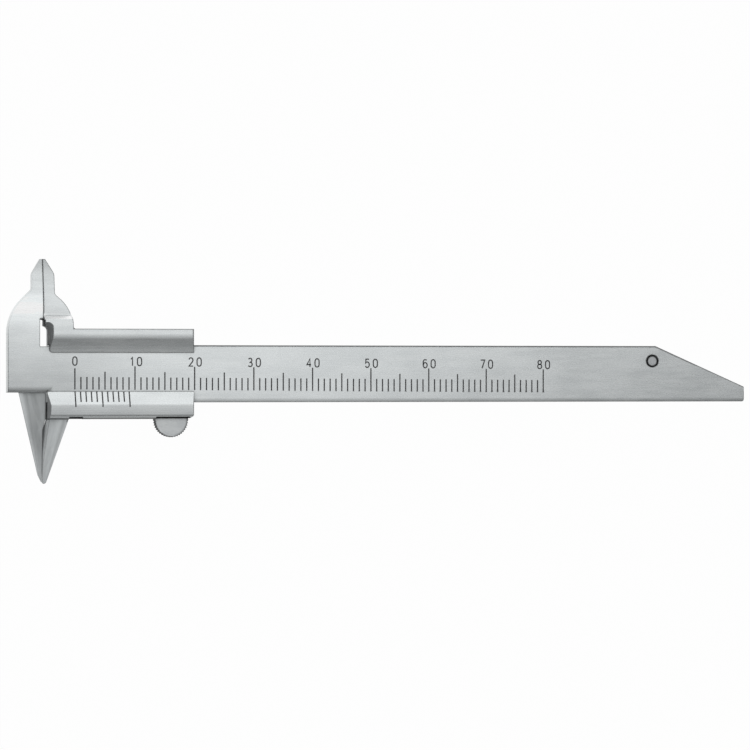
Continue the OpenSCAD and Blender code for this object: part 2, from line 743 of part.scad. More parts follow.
// Lines of the vernier, cut square to the lower lip's slope and on to its flat
module vernier_scale() {
    pitch = tick_pitch * (vernier_divs - 1) / vernier_divs;
    drop = lip_top - lip_foot;
    slope_len = norm([low_bevel_w, drop]);
    slope_share = vernier_short / low_bevel_w;
    for (i = [0 : vernier_divs]) {
        long = i % fives == 0;
        translate([i * pitch - tick_w / 2, low_lip_y, lip_foot])
            rotate([-atan(drop / low_bevel_w), 0, 0])
                translate([0, -slope_len * (long ? 1 : slope_share), -tick_depth])
                    cube([tick_w, slope_len * (long ? 1 : slope_share) + over, tick_depth + over]);
        if (long)
            translate([i * pitch - tick_w / 2, low_lip_y - vernier_long, lip_top - tick_depth])
                cube([tick_w, vernier_long - low_bevel_w + tick_w, tick_depth + over]);
    }
}

module slider() {
    color(slider_steel) difference() {
        union() {
            difference() {
                across(slider_left, slider_reach) channel_profile();
                sideways(slider_low - over, 0) left_end_cut();
            }
            upper_slider_jaw();
            slider_point();
        }
        upper_left_cut();
        sideways(slider_low - over, slider_top + over) right_end_cut();
        upward(-over, lip_top + over) polygon([
            [slider_reach - corner_cut_w, slider_low], [slider_reach, slider_low + corner_cut_h],
            [slider_reach + over, slider_low + corner_cut_h], [slider_reach + over, slider_low - over],
            [slider_reach - corner_cut_w, slider_low - over]
        ]);
        translate([slider_left + pocket_margin, rail_in - over, back_t])
            cube([slider_reach - slider_left - 2 * pocket_margin, pocket_d + over, lip_under - back_t]);
        lever_slot();
        vernier_scale();
        translate([pivot_x, pivot_y, -over]) cylinder(h = slot_front + pin_seat + over, r = pin_r + seat_gap);
        upward(-over, back_t + over) stop_notch();
    }
}

// Notch in the back plate's right end that runs on to the stop pin
module stop_notch() {
    r = stop_r + stop_gap;
    x = slider_reach - stop_inset;
    translate([x, stop_y]) circle(r);
    translate([x, stop_y - r]) square([stop_inset + over, 2 * r]);
}

// A flat strip bowed between two levels, drawn in the front view
module bowed_strip(x0, x1, y_ends, y_middle, t) {
    function bow(s) = y_ends + (y_middle - y_ends) * sin(180 * s);
    upper_line = [for (i = [0 : bow_steps]) [x0 + (x1 - x0) * i / bow_steps, bow(i / bow_steps) + t]];
    lower_line = [for (i = [bow_steps : -1 : 0]) [x0 + (x1 - x0) * i / bow_steps, bow(i / bow_steps)]];
    polygon(concat(upper_line, lower_line));
}

// Leaf spring that keeps the slider down on the beam's lower edge
module gib_spring() {
    color(spring_steel) upward(beam_back + lever_gap, beam_front - lever_gap)
        bowed_strip(gib_left, gib_right, rail_in + pocket_d - gib_t - seat_gap, beam_top + seat_gap, gib_t);
}

// Clamp lever: a nose that grips the beam, a hub on the pin, an arm and a thumb pad
module lever_outline() {
    nose_x = nose_left + nose_w;
    difference() {
        union() {
            polygon([
                [nose_left, arm_low + slit_h], [pivot_x, pivot_y - hub_r], [pivot_x, pivot_y + hub_r],
                [nose_x, web_low - lever_gap], [nose_x, nose_top], [nose_left, nose_top]
            ]);
            translate([pivot_x, pivot_y]) circle(hub_r);
            polygon([
                [pivot_x, pivot_y - hub_r], [pad_x, arm_low], [pad_x + pad_r, arm_low],
                [pad_x + pad_r, arm_top - slit_h], [pad_x + pad_r - slit_h, arm_top], [pivot_x, arm_top]
            ]);
            intersection() {
                translate([pad_x, pad_y]) circle(pad_r);
                translate([pad_x - pad_r, pad_y - pad_r]) square([2 * pad_r, pad_r + pad_drop + lever_gap]);
            }
        }
        translate([pivot_x, pivot_y]) circle(pin_r + pivot_gap);
        for (i = [0 : knurls])
            translate([pad_x, pad_y]) rotate(180 + 180 * (i + 0.5) / (knurls + 1))
                translate([pad_r + knurl_r / 4, 0]) circle(knurl_r);
    }
}

module thumb_lever() {
    color(slider_steel) upward(lever_back, lever_back + lever_t) lever_outline();
}

module lever_pin() {
    color(pin_steel) translate([pivot_x, pivot_y, seat_gap])
        cylinder(h = slot_front + pin_seat - 2 * seat_gap, r = pin_r);
}

// Leaf spring that pushes the thumb pad outward
module lever_spring() {
    color(spring_steel) upward(lever_back + lever_gap, lever_back + lever_t - lever_gap)
        bowed_strip(leaf_x, leaf_x + leaf_len, arm_top + seat_gap, web_low - leaf_t - seat_gap, leaf_t);
}

// Pin that the slider's notch meets at the end of the scale
module stop_pin() {
    color(pin_steel) translate([stop_x, stop_y, 0]) cylinder(h = beam_front, r = stop_r);
}

beam();
slider();
gib_spring();
thumb_lever();
lever_pin();
lever_spring();
stop_pin();
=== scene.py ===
"""Looks for the dental vernier caliper: brushed steel with painted shade and highlights in its colour, filled scale
lines, numbers, light and camera.
"""
import math

import bpy
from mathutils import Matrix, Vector


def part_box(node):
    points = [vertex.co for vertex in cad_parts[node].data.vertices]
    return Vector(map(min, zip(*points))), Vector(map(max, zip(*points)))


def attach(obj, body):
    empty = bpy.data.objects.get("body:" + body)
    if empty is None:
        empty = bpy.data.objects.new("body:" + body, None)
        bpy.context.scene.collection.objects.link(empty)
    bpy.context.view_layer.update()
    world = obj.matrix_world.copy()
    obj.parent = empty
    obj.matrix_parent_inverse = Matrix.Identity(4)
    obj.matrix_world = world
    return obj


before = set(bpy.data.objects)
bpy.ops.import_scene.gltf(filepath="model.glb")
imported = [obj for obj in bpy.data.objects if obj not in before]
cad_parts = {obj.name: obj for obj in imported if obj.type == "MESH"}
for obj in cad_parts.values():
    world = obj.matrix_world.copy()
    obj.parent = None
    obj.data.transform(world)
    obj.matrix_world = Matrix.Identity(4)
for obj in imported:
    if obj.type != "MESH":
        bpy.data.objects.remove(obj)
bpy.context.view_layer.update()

# Lengths are in millimetres unless their comment names another unit
MM = 0.001
BEAM_FRONT = 4.05       # face that carries the main scale
LIP_TOP = 5.35          # face of the slider's lips
LIP_FOOT = 4.2          # low edge of the vernier's slope
LOW_LIP_Y = -2.92       # edge of the lower lip
BEVEL_W = 2.2           # width of the vernier's slope
PAD_R = 2.8             # radius of the thumb pad
PIN_RING_R = 1.1        # outer radius of the groove round the stop pin, where its painted shade ends

SCALE_END = 80
SCALE_LEAN = math.tan(math.radians(0.38))   # the row of lines runs down towards the tail
TICK_W = 0.22
TICK_FOOT = -2.59
TICK_ZERO = 3.5         # length of the first line, and below it those of the others
TICK_TEN = 3.88
TICK_FIVE = 2.97
TICK_ONE = 2.07
VERNIER_PITCH = 0.9
VERNIER_LINES = 11
VERNIER_START = 0.06    # a vernier line starts this far up the slope
VERNIER_SHORT = 1.73 / 2.2      # the part of the slope that its shorter lines cover
VERNIER_REACH = 2.56    # its longer lines end this far below the lip's edge
LIP_STEP = 0.02         # where a longer line goes on, on the lip's face
GROOVE_D = 0.06
INK_BACK = 0.004        # the filling stays this far above the groove's floor
INK_SINK = 0.012        # this far below the steel
INK_SIDE = 0.008        # and this far from the groove's walls

FIGURE_W = 0.7
FIGURE_H = 1.38
FIGURE_PEN = 0.2
FIGURE_Y = 1.4          # foot of the first figure
FIGURE_Z = (BEAM_FRONT + 0.001, BEAM_FRONT + 0.006)
TENS_LEFT = 0.62        # the first figure's middle lies this far left of the line
ONE_LEFT = 0.5          # or this far, where it is the slim 1
ZERO_RIGHT = 0.76       # and the second figure's this far right of it

PAINTED_WALL_SHADE = 0.34        # how dark the painted shade on the steep ground walls is beside the flat faces
PAINTED_EDGE_SHADE = 0.3         # and how dark the painted shade line along a sharp edge is
PAINTED_SLOT_SHADE = 0.12        # and the painted shade inside the lever's slot
DARKEST_PAINTED_SHADE = 0.2           # the painted shade of walls, edges and crevices together goes no darker than this
EDGE_R = 0.00026        # half the width of that painted shade line along an edge, in metres
CREVICE_R = 0.001       # how far the painted crevice shade looks for the other wall, in metres
BLEND = 0.1             # a change of tone takes this far
WHITE = (1.0, 1.0, 1.0)

SENSOR_W = 36.0
PHOTO_PX = 750
FOCAL_PX = 3400         # fitted to the scale's lines in the photo
FLOOR_R = 4.0           # in metres, like the two below
FLOOR_Z = -0.0002       # just clear of the part's back
GRAIN_H = 0.00002       # height of the grain


def new_material(name):
    mat = bpy.data.materials.new(name)
    mat.use_nodes = True
    tree = mat.node_tree
    tree.nodes.clear()
    out = tree.nodes.new("ShaderNodeOutputMaterial")
    shader = tree.nodes.new("ShaderNodeBsdfPrincipled")
    tree.links.new(shader.outputs[0], out.inputs[0])
    return mat, tree, shader


def math_node(tree, op, a, b=None, c=None):
    node = tree.nodes.new("ShaderNodeMath")
    node.operation = op
    for i, v in enumerate((a, b, c)):
        if v is None:
            continue
        if isinstance(v, (int, float)):
            node.inputs[i].default_value = v
        else:
            tree.links.new(v, node.inputs[i])
    return node.outputs[0]


def mix_value(tree, fac, a, b):
    """The number a where fac is 0 and b where it is 1."""
    return math_node(tree, "MULTIPLY_ADD", fac, math_node(tree, "SUBTRACT", b, a), a)


def mix_colour(tree, fac, a, b, blend="MIX"):
    node = tree.nodes.new("ShaderNodeMix")
    node.data_type = "RGBA"
    node.blend_type = blend
    for socket, v in ((node.inputs[0], fac), (node.inputs[6], a), (node.inputs[7], b)):
        if isinstance(v, (int, float)):
            socket.default_value = v
        elif isinstance(v, tuple):
            socket.default_value = v + (1,)
        else:
            tree.links.new(v, socket)
    return node.outputs[2]


def ramp(tree, fac, stops):
    """Eased steps between stops (place, value), where a value is a number or a colour."""
    node = tree.nodes.new("ShaderNodeValToRGB")
    node.color_ramp.interpolation = "EASE"
    while len(node.color_ramp.elements) < len(stops):
        node.color_ramp.elements.new(0.5)
    for el, (pos, value) in zip(node.color_ramp.elements, stops):
        el.position = pos
        el.color = (value + (1,)) if isinstance(value, tuple) else (value, value, value, 1)
    tree.links.new(fac, node.inputs[0])
    return node.outputs[0]


def along(tree, socket, stops, low=-20.0, high=20.0):
    """A ramp along one coordinate, with its stops in millimetres."""
    span = high - low
    fac = math_node(tree, "MULTIPLY_ADD", socket, 1000 / span, -low / span)
    return ramp(tree, fac, [((mm - low) / span, value) for mm, value in stops])


def below(tree, socket, limit):
    """1 below a place on one coordinate and 0 above it."""
    return along(tree, socket, [(limit, 1.0), (limit + BLEND, 0.0)])


def between(tree, socket, low, high, inside=1.0, outside=0.0):
    """One value between two places on one coordinate and another value beyond them."""
    return along(tree, socket, [(low - BLEND, outside), (low, inside), (high, inside), (high + BLEND, outside)])


def axes_of(tree, socket):
    split = tree.nodes.new("ShaderNodeSeparateXYZ")
    tree.links.new(socket, split.inputs[0])
    return split.outputs


def place(tree):
    """The part's own coordinates X, Y and Z, in metres."""
    return axes_of(tree, tree.nodes.new("ShaderNodeTexCoord").outputs["Object"])


def reach(tree, centre):
    """Distance from an upright axis."""
    x, y, _ = place(tree)
    level = tree.nodes.new("ShaderNodeCombineXYZ")
    tree.links.new(x, level.inputs[0])
    tree.links.new(y, level.inputs[1])
    gap = tree.nodes.new("ShaderNodeVectorMath")
    gap.operation = "DISTANCE"
    tree.links.new(level.outputs[0], gap.inputs[0])
    gap.inputs[1].default_value = (centre[0], centre[1], 0.0)
    return gap.outputs["Value"]


def noise(tree, scale, detail=4.0, rough=0.55, seed_shift=(0, 0, 0), lean=0.0):
    """Noise in the part's own coordinates, in cycles per metre along X, Y and Z; lean slants it in X with Y."""
    x, y, z = place(tree)
    vector = tree.nodes.new("ShaderNodeCombineXYZ")
    tree.links.new(math_node(tree, "MULTIPLY_ADD", y, lean, x), vector.inputs[0])
    tree.links.new(y, vector.inputs[1])
    tree.links.new(z, vector.inputs[2])
    mapping = tree.nodes.new("ShaderNodeMapping")
    mapping.inputs["Scale"].default_value = scale
    mapping.inputs["Location"].default_value = seed_shift
    tex = tree.nodes.new("ShaderNodeTexNoise")
    tex.inputs["Scale"].default_value = 1.0
    tex.inputs["Detail"].default_value = detail
    tex.inputs["Roughness"].default_value = rough
    tree.links.new(vector.outputs[0], mapping.inputs["Vector"])
    tree.links.new(mapping.outputs[0], tex.inputs["Vector"])
    return tex.outputs["Fac"]


def grain_noise(tree, grain, point):
    """Fine grain, longer streaks and the ground point's mask; both noises turn to run down the point."""
    fine = noise(tree, grain, 5.0, 0.62)
    long_grain = tuple(g * k for g, k in zip(grain, (0.6, 0.16, 0.16)))
    streak = noise(tree, long_grain, 4.0, 0.6, (5.3, 0.2, 1.9))
    if not point:
        return fine, streak, None
    root_top, root_foot, root_side, lean = point
    x, y, _ = place(tree)
    root = math_node(tree, "MULTIPLY", along(tree, y, [(root_top - 0.15, 1.0), (root_top, 0.0)]),
                     below(tree, x, root_side))
    down = math_node(tree, "MAXIMUM", root, below(tree, y, root_foot - BLEND))
    fine_down = noise(tree, (6500, 260, 6500), 4.0, 0.6, (2.2, 8.1, 0.7), lean)
    streak_down = noise(tree, (1600, 130, 1600), 3.0, 0.6, (4.2, 0.4, 3.3), lean)
    return mix_value(tree, down, fine, fine_down), mix_value(tree, down, streak, streak_down), down


def painted_wall_shade(tree, lit, left):
    """Painted shade on steep walls; left is how bright painted light keeps the head's left and shoulder walls, and lit
    a band of slopes given a painted highlight.
    """
    nx, ny, nz = axes_of(tree, tree.nodes.new("ShaderNodeTexCoord").outputs["Normal"])
    flat = math_node(tree, "ABSOLUTE", nz)
    downward = math_node(tree, "MULTIPLY", math_node(tree, "MINIMUM", ny, 0.0), -0.2)
    level = math_node(tree, "MULTIPLY_ADD", flat, downward, flat)
    # painted light: the head's left-facing walls and its shoulder's up-facing walls stay brighter
    if left:
        upward = math_node(tree, "MULTIPLY", math_node(tree, "MAXIMUM", ny, 0.0),
                           along(tree, place(tree)[1], [(5.0, 0.0), (6.0, 1.0)]))
        facing = math_node(tree, "MULTIPLY_ADD", nx, -1.0, upward)
        level = math_node(tree, "MAXIMUM", level, ramp(tree, facing, [(0.0, 0.0), (0.3, left)]))
    # painted highlight on the slopes that face up in this band
    if lit:
        zone = between(tree, place(tree)[1], *lit)
        level = math_node(tree, "MULTIPLY_ADD", zone, math_node(tree, "MAXIMUM", ny, 0.0), level)
    return ramp(tree, level, [(0.0, PAINTED_WALL_SHADE), (0.4, PAINTED_WALL_SHADE * 1.2), (0.74, 0.4), (0.87, 1.0)])


def painted_edge_shade(tree, calm, left):
    """A painted shade line along sharp edges, left out in the calm heights and faint along the head's wall that painted
    light keeps bright.
    """
    bevel = tree.nodes.new("ShaderNodeBevel")
    bevel.samples = 6
    bevel.inputs["Radius"].default_value = EDGE_R
    geo = tree.nodes.new("ShaderNodeNewGeometry")
    dot = tree.nodes.new("ShaderNodeVectorMath")
    dot.operation = "DOT_PRODUCT"
    tree.links.new(bevel.outputs[0], dot.inputs[0])
    tree.links.new(geo.outputs["Normal"], dot.inputs[1])
    edge = ramp(tree, dot.outputs["Value"], [(0.88, PAINTED_EDGE_SHADE), (0.96, PAINTED_EDGE_SHADE * 1.4), (0.994, 1.0)])
    x, y, _ = place(tree)
    for low, high, beside in calm:
        away = between(tree, y, low, high, inside=0.0, outside=1.0)
        if beside:
            away = math_node(tree, "MAXIMUM", away, along(tree, x, beside))
        edge = mix_colour(tree, away, WHITE, edge)
    # painted light: the line fades where the head's wall faces left or up
    if left:
        nx, ny, _ = axes_of(tree, bevel.outputs[0])
        facing = math_node(tree, "MULTIPLY_ADD", nx, -1.0, math_node(tree, "MAXIMUM", ny, 0.0))
        faint = math_node(tree, "MULTIPLY", ramp(tree, facing, [(0.05, 0.0), (0.3, 1.0)]),
                          along(tree, y, [(5.0, 0.0), (9.0, left)]))
        edge = mix_colour(tree, faint, edge, WHITE)
    return edge


# Painted shade in crevices, darkest where ambient occlusion is strongest
def painted_crevice_shade(tree, dark):
    node = tree.nodes.new("ShaderNodeAmbientOcclusion")
    node.inputs["Distance"].default_value = CREVICE_R
    node.samples = 8
    return ramp(tree, node.outputs["AO"], [(0.0, dark * 0.5), (0.4, dark), (0.72, 0.74), (0.95, 1.0)])


def painted_shade_mask(tree, crevice, calm, lit, left, down):
    """Painted shade: 1 on open faces and darker on walls, edges and in crevices, half as much on the ground point."""
    depth = mix_colour(tree, 1.0, painted_wall_shade(tree, lit, left), painted_edge_shade(tree, calm, left), "MULTIPLY")
    depth = mix_colour(tree, 1.0, depth, painted_crevice_shade(tree, crevice), "MULTIPLY")
    depth = math_node(tree, "MAXIMUM", depth, DARKEST_PAINTED_SHADE)
    if down:
        depth = mix_colour(tree, math_node(tree, "MULTIPLY", down, 0.5), depth, WHITE)
    return depth


def face_colour(tree, light, dark, fine, streak):
    """Clouds, streaks and grain between two colours, with a few faint darker marks."""
    broad = noise(tree, (110, 190, 190), 3.0, 0.5, (3.1, 1.7, 0.4))
    marks = noise(tree, (900, 2600, 2600), 2.0, 0.7, (7.3, 2.2, 5.5))
    tone = math_node(tree, "MULTIPLY_ADD", broad, 0.34,
                     math_node(tree, "MULTIPLY_ADD", streak, 0.4, math_node(tree, "MULTIPLY", fine, 0.26)))
    colour = ramp(tree, tone, [(0.4, dark), (0.6, light)])
    marked = ramp(tree, marks, [(0.0, 0.0), (0.7, 0.0), (0.84, 0.5), (1.0, 0.5)])
    return mix_colour(tree, marked, colour, tuple(c * 0.86 for c in dark))


def painted_light_by_height(tree, tones, head_tones, point_tones, down):
    """Painted light and shade as tones (height, value) up the part, with the head's own beside the jaws and the ground
    point's own on it.
    """
    x, y, _ = place(tree)
    wear_and_painted_light = along(tree, y, tones)
    if head_tones:
        wear_and_painted_light = mix_colour(tree, along(tree, x, [(-2.0, 1.0), (12.0, 0.0)]), wear_and_painted_light, along(tree, y, head_tones))
    if point_tones:
        wear_and_painted_light = mix_colour(tree, down, wear_and_painted_light, along(tree, y, point_tones))
    return wear_and_painted_light


def painted_ring_shade(tree, centre, radius):
    """Painted shade inside a circle, in the groove round the stop pin."""
    return along(tree, reach(tree, centre), [(radius - 0.08, 0.12), (radius + 0.06, 1.0)], 0.0, 8.0)


def painted_rim_shade(tree, centre, radius):
    """Painted shade on the right half of a disc's rim."""
    rim = along(tree, reach(tree, centre), [(radius - 0.5, 1.0), (radius - 0.2, 0.5)], 0.0, 8.0)
    middle = centre[0] / MM
    return mix_colour(tree, along(tree, place(tree)[0], [(middle, 0.0), (middle + 1.6, 1.0)]), WHITE, rim)


def painted_slot_shade(tree, box):
    """Painted shade inside a box, which is given as low and high along X, Y and Z."""
    x, y, z = [between(tree, axis, *span) for axis, span in zip(place(tree), box)]
    inside = math_node(tree, "MULTIPLY", x, math_node(tree, "MULTIPLY", y, z))
    return mix_colour(tree, inside, WHITE, (PAINTED_SLOT_SHADE,) * 3)


def ground_surface(tree, shader, fine, streak, down, depth, rough, aniso, bump):
    """Metal with the grain in its gloss and relief; where the painted shade mask is dark it is rougher and mirrors
    less.
    """
    tree.links.new(ramp(tree, depth, [(0.25, 0.0), (0.7, 1.0)]), shader.inputs["Metallic"])
    shader.inputs["Anisotropic"].default_value = aniso
    tangent = tree.nodes.new("ShaderNodeTangent")
    tangent.direction_type = "RADIAL"
    tangent.axis = "X"
    tree.links.new(tangent.outputs[0], shader.inputs["Tangent"])
    spread = math_node(tree, "MULTIPLY_ADD", fine, 0.12, rough - 0.1)
    spread = math_node(tree, "MULTIPLY_ADD", streak, 0.08, spread)
    if down:
        spread = math_node(tree, "MULTIPLY_ADD", down, 0.25, spread)
    spread = math_node(tree, "ADD", spread, ramp(tree, depth, [(0.1, 0.45), (0.8, 0.0)]))
    tree.links.new(spread, shader.inputs["Roughness"])
    node = tree.nodes.new("ShaderNodeBump")
    node.inputs["Strength"].default_value = bump
    node.inputs["Distance"].default_value = GRAIN_H
    tree.links.new(math_node(tree, "MULTIPLY_ADD", streak, 0.5, fine), node.inputs["Height"])
    tree.links.new(node.outputs[0], shader.inputs["Normal"])


def steel(name, light, dark, rough, grain, bump, aniso=0.0, crevice=0.48, tones=None, head_tones=None,
          point_tones=None, calm=(), lit=None, left=0.0, point=None, ring=None, rim=None, slot=None):
    """Ground steel with painted shade and light in its colour. Calm is (low, high, stops along X or None); point is
    (root's top, foot and side, lean).
    """
    mat, tree, shader = new_material(name)
    fine, streak, down = grain_noise(tree, grain, point)
    colour = face_colour(tree, light, dark, fine, streak)
    depth = painted_shade_mask(tree, crevice, calm, lit, left, down)
    # painted shade and light: depth darkens walls, edges and crevices, the tones add painted highlights and shade by
    # height, and ring, slot and rim add painted shade
    shades = [depth]
    if tones:
        shades.append(painted_light_by_height(tree, tones, head_tones, point_tones, down))
    if ring:
        shades.append(painted_ring_shade(tree, *ring))
    if slot:
        shades.append(painted_slot_shade(tree, slot))
    if rim:
        shades.append(painted_rim_shade(tree, *rim))
    for shade in shades:
        colour = mix_colour(tree, 1.0, colour, shade, "MULTIPLY")
    tree.links.new(colour, shader.inputs["Base Color"])
    ground_surface(tree, shader, fine, streak, down, depth, rough, aniso, bump)
    return mat


def ink(name, light, dark):
    """Matt dark filling of the engraved lines, a little uneven from wiping."""
    mat, tree, shader = new_material(name)
    wear_and_painted_light = noise(tree, (1500, 900, 900), 3.0, 0.6, (1.1, 4.2, 0.3))
    tree.links.new(ramp(tree, wear_and_painted_light, [(0.3, dark), (0.72, light)]), shader.inputs["Base Color"])
    tree.links.new(math_node(tree, "MULTIPLY_ADD", wear_and_painted_light, 0.25, 0.5), shader.inputs["Roughness"])
    return mat


def add_piece(name, verts, faces, mat, body):
    mesh = bpy.data.meshes.new(name)
    mesh.from_pydata([tuple(c * MM for c in v) for v in verts], [], faces)
    mesh.validate()
    mesh.update()
    obj = bpy.data.objects.new(name, mesh)
    bpy.context.scene.collection.objects.link(obj)
    mesh.materials.append(mat)
    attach(obj, body)


def block(verts, faces, corners):
    """A six-sided solid from its four lower corners and the four above them."""
    n = len(verts)
    verts.extend(corners)
    faces.extend(tuple(n + i for i in f) for f in
                 ((3, 2, 1, 0), (4, 5, 6, 7), (0, 1, 5, 4), (1, 2, 6, 5), (2, 3, 7, 6), (3, 0, 4, 7)))


def flat_block(verts, faces, x0, x1, y0, y1, z0, z1):
    block(verts, faces, [(x, y, z) for z in (z0, z1) for x, y in ((x0, y0), (x1, y0), (x1, y1), (x0, y1))])


def stroke(verts, faces, line, width, z0, z1, closed=False):
    """A flat pen stroke along points (x, y), with mitred corners, as a closed solid."""
    pts = [Vector(p) for p in line]
    n = len(pts)
    left, right = [], []
    for i, p in enumerate(pts):
        dirs = []
        if i or closed:
            dirs.append((p - pts[i - 1]).normalized())
        if i < n - 1 or closed:
            dirs.append((pts[(i + 1) % n] - p).normalized())
        normals = [Vector((-d.y, d.x)) for d in dirs]
        side = sum(normals, Vector((0, 0)))
        side.normalize()
        arm = width / 2 / max(0.5, side.dot(normals[0]))
        left.append(p + side * arm)
        right.append(p - side * arm)
    base = len(verts)
    for a, b in zip(left, right):
        verts.extend([(a.x, a.y, z0), (b.x, b.y, z0), (a.x, a.y, z1), (b.x, b.y, z1)])
    for i in range(n if closed else n - 1):
        a, b = base + 4 * i, base + 4 * ((i + 1) % n)
        faces.extend([(a + 2, a + 3, b + 3, b + 2), (a, b, b + 1, a + 1),
                      (a, a + 2, b + 2, b), (a + 1, b + 1, b + 3, a + 3)])
    if not closed:
        end = base + 4 * (n - 1)
        faces.extend([(base, base + 1, base + 3, base + 2), (end, end + 2, end + 3, end + 1)])


def arc(cx, cy, rx, ry, a0, a1, steps):
    return [(cx + rx * math.cos(math.radians(a0 + (a1 - a0) * i / steps)),
             cy + ry * math.sin(math.radians(a0 + (a1 - a0) * i / steps))) for i in range(steps + 1)]


# Plain upright figures on a cell one unit wide and high, as (points, closed) strokes
FIGURES = {
    "0": [(arc(0.5, 0.68, 0.5, 0.32, 0, 180, 10) + arc(0.5, 0.32, 0.5, 0.32, 180, 360, 10), True)],
    "1": [([(0.28, 0.76), (0.62, 1.0), (0.62, 0.0)], False)],
    "2": [(arc(0.5, 0.72, 0.48, 0.28, 165, -38, 12) + [(0.03, 0.0), (1.0, 0.0)], False)],
    "3": [(arc(0.48, 0.75, 0.42, 0.25, 150, -90, 10) + arc(0.48, 0.26, 0.5, 0.26, 88, -150, 12), False)],
    "4": [([(0.74, 0.0), (0.74, 1.0), (0.0, 0.28), (1.0, 0.28)], False)],
    "5": [([(0.92, 1.0), (0.16, 1.0), (0.07, 0.52)] + arc(0.48, 0.33, 0.5, 0.33, 140, -150, 14), False)],
    "6": [([(0.86, 0.93)] + arc(0.52, 0.7, 0.5, 0.3, 60, 180, 7) + arc(0.5, 0.32, 0.48, 0.32, 180, 540, 18),
           False)],
    "7": [([(0.0, 1.0), (1.0, 1.0), (0.36, 0.0)], False)],
    "8": [(arc(0.5, 0.76, 0.42, 0.24, -90, 270, 14)[:-1], True),
          (arc(0.5, 0.27, 0.5, 0.27, 90, 450, 16)[:-1], True)],
}


def figure(verts, faces, digit, centre_x):
    low_y = FIGURE_Y - centre_x * SCALE_LEAN
    for line, closed in FIGURES[digit]:
        pts = [(centre_x + (x - 0.5) * FIGURE_W, low_y + y * FIGURE_H) for x, y in line]
        stroke(verts, faces, pts, FIGURE_PEN, *FIGURE_Z, closed)


def dress_cad():
    pin_low, pin_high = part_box("stop_pin")
    pin_centre = ((pin_low[0] + pin_high[0]) / 2, (pin_low[1] + pin_high[1]) / 2)
    lever_low, lever_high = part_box("thumb_lever")
    pad_centre = (lever_high[0] - PAD_R * MM, lever_low[1] + PAD_R * MM)
    # painted light and shade: the tones make the beam a little darker towards the bottom, the head's tones give its
    # shoulder a painted highlight and shade it low beside the jaws and towards the blade's tip, the point's tones
    # lighten the fixed point towards its tip, left keeps the head's left wall lighter, and ring is painted shade in the
    # pin's groove
    beam = steel(
        "beam_steel", (0.80, 0.832, 0.838), (0.70, 0.732, 0.74), 0.27, (300, 7000, 7000), 0.28, aniso=0.6,
        tones=[(-4.7, 0.92), (-1.0, 0.96), (2.0, 1.0), (4.7, 1.02)],
        head_tones=[(-3.0, 0.76), (-1.0, 0.76), (0.8, 0.82), (4.0, 0.92), (7.3, 1.03), (9.0, 1.2), (10.8, 1.36),
                    (12.3, 1.3), (13.9, 1.14), (15.6, 1.06), (18.5, 0.8)],
        point_tones=[(-18.0, 1.22), (-10.0, 0.9), (-4.0, 0.97)],
        calm=[(-2.8, 1.35, [(-3.2, 1.0), (-3.0, 0.0)])], left=0.81, point=(-3.05, -4.78, -4.75, 0.2),
        ring=(pin_centre, PIN_RING_R))
    # painted light and shade: the tones give the step's slope a painted highlight and shade the lower lip and the upper
    # jaw towards its tip, lit adds a painted highlight on that slope, the point's tones lighten the sliding point, and
    # slot is painted shade in the lever's slot
    slider = steel(
        "slider_steel", (0.80, 0.832, 0.838), (0.70, 0.732, 0.74), 0.27, (300, 7000, 7000), 0.26, aniso=0.6,
        tones=[(-7.3, 0.82), (-5.3, 0.78), (-5.0, 1.0), (7.0, 1.0), (8.9, 1.05), (9.15, 1.45), (9.75, 1.45),
               (9.95, 0.98), (10.6, 0.96), (12.3, 1.06), (13.9, 1.06), (15.6, 0.98), (18.5, 0.74)],
        point_tones=[(-18.0, 1.15), (-7.6, 1.12)],
        calm=[(-7.3, -3.05, None), (8.2, 9.9, [(-0.75, 0.0), (-0.55, 1.0)])], lit=(8.9, 9.9),
        point=(-7.5, -7.5, 19.0, -0.2), slot=[(-1.0, 19.2), (-7.44, -5.0), (0.5, 3.9)])
    # painted shade: the tones make the lever nearly black inside the slot, rim shades the pad's right rim, and the low
    # crevice value darkens its crevices strongly
    lever = steel("lever_steel", (0.72, 0.745, 0.75), (0.60, 0.625, 0.635), 0.36, (600, 5000, 5000), 0.4,
                  crevice=0.1, tones=[(-7.42, 1.0), (-7.35, 0.04)], rim=(pad_centre, PAD_R))
    spring = steel("spring_steel", (0.52, 0.55, 0.6), (0.4, 0.43, 0.49), 0.25, (300, 300, 8000), 0.2)
    pin = steel("pin_steel", (0.58, 0.6, 0.61), (0.46, 0.48, 0.49), 0.32, (3500, 3500, 500), 0.3)
    looks = {
        "beam": beam, "slider": slider, "thumb_lever": lever, "gib_spring": spring, "lever_spring": spring,
        "lever_pin": pin, "stop_pin": pin,
    }
    for node, mat in looks.items():
        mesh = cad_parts[node].data
        mesh.materials.clear()
        mesh.materials.append(mat)


def fill_main_scale(mat):
    half = TICK_W / 2 - INK_SIDE
    verts, faces = [], []
    for i in range(SCALE_END + 1):
        length = TICK_ZERO if i == 0 else TICK_TEN if i % 10 == 0 else TICK_FIVE if i % 5 == 0 else TICK_ONE
        foot = TICK_FOOT - i * SCALE_LEAN
        flat_block(verts, faces, i - half, i + half, foot + INK_SIDE, foot + length - INK_SIDE,
                   BEAM_FRONT - GROOVE_D + INK_BACK, BEAM_FRONT - INK_SINK)
    add_piece("main_scale_filling", verts, faces, mat, "beam")


def number_main_scale(mat):
    verts, faces = [], []
    figure(verts, faces, "0", 0.0)
    for i in range(10, SCALE_END + 1, 10):
        tens = str(i // 10)
        figure(verts, faces, tens, i - (ONE_LEFT if tens == "1" else TENS_LEFT))
        figure(verts, faces, "0", i + ZERO_RIGHT)
    add_piece("main_scale_numbers", verts, faces, mat, "beam")


